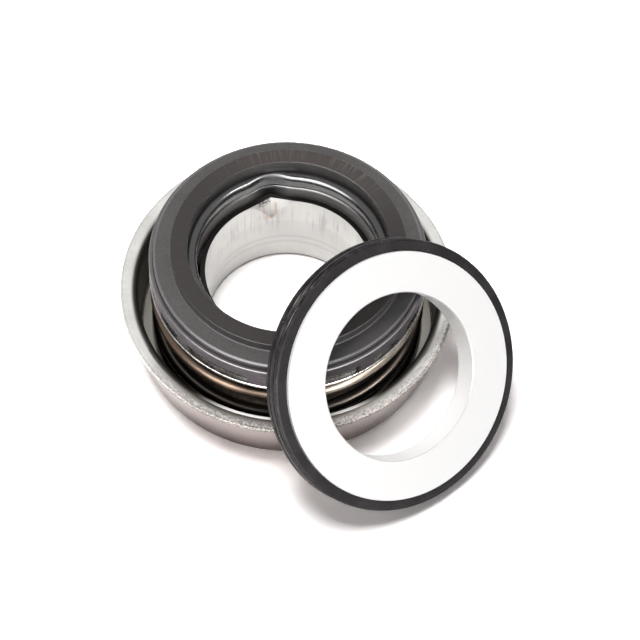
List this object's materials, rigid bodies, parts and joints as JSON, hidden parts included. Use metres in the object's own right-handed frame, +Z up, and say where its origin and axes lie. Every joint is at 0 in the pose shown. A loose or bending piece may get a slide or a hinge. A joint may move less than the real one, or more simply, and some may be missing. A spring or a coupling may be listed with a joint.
{
  "type": "component mechanical seal",
  "caption": "Pump shaft seal: a sprung carbon ring and rubber bellows in a flanged steel cup, with a white ceramic mating ring in a ribbed rubber boot leaning on it.",
  "frame": {"origin": "on the seal axis, in the plane that the cup stands on", "axes": "+Z up along the seal axis, from the cup floor towards the carbon face; the mating ring leans on the head from the +X, -Y side"},
  "size_m": [0.0646, 0.0656, 0.0341],
  "materials": {
    "stainless": "satin pressed stainless steel, slightly grained on the flange",
    "spring_steel": "smooth drawn wire",
    "bright_steel": "bright rolled strip",
    "dark_steel": "dark satin steel",
    "carbon": "matte carbon graphite with a lapped nose",
    "rubber": "smooth moulded rubber",
    "ceramic": "fine white alumina, lapped flat",
    "boot_rubber": "satin moulded rubber"
  },
  "bodies": {
    "cup_body": {"cup": "stainless", "tail_band": "stainless", "spring": "spring_steel", "bellows": "rubber", "mating_ring": "ceramic", "ring_boot": "boot_rubber"},
    "head": {"spring_seat": "bright_steel", "retainer_shell": "dark_steel", "carbon_ring": "carbon"}
  },
  "joints": [
    {"name": "head_slide", "type": "slide", "parent": "cup_body", "child": "head", "axis": [0, 0, 1], "range_m": [-0.0045, 0], "stiffness_N_per_m": 1400, "springref_m": 0.0005, "deforming": ["spring", "bellows"]}
  ]
}
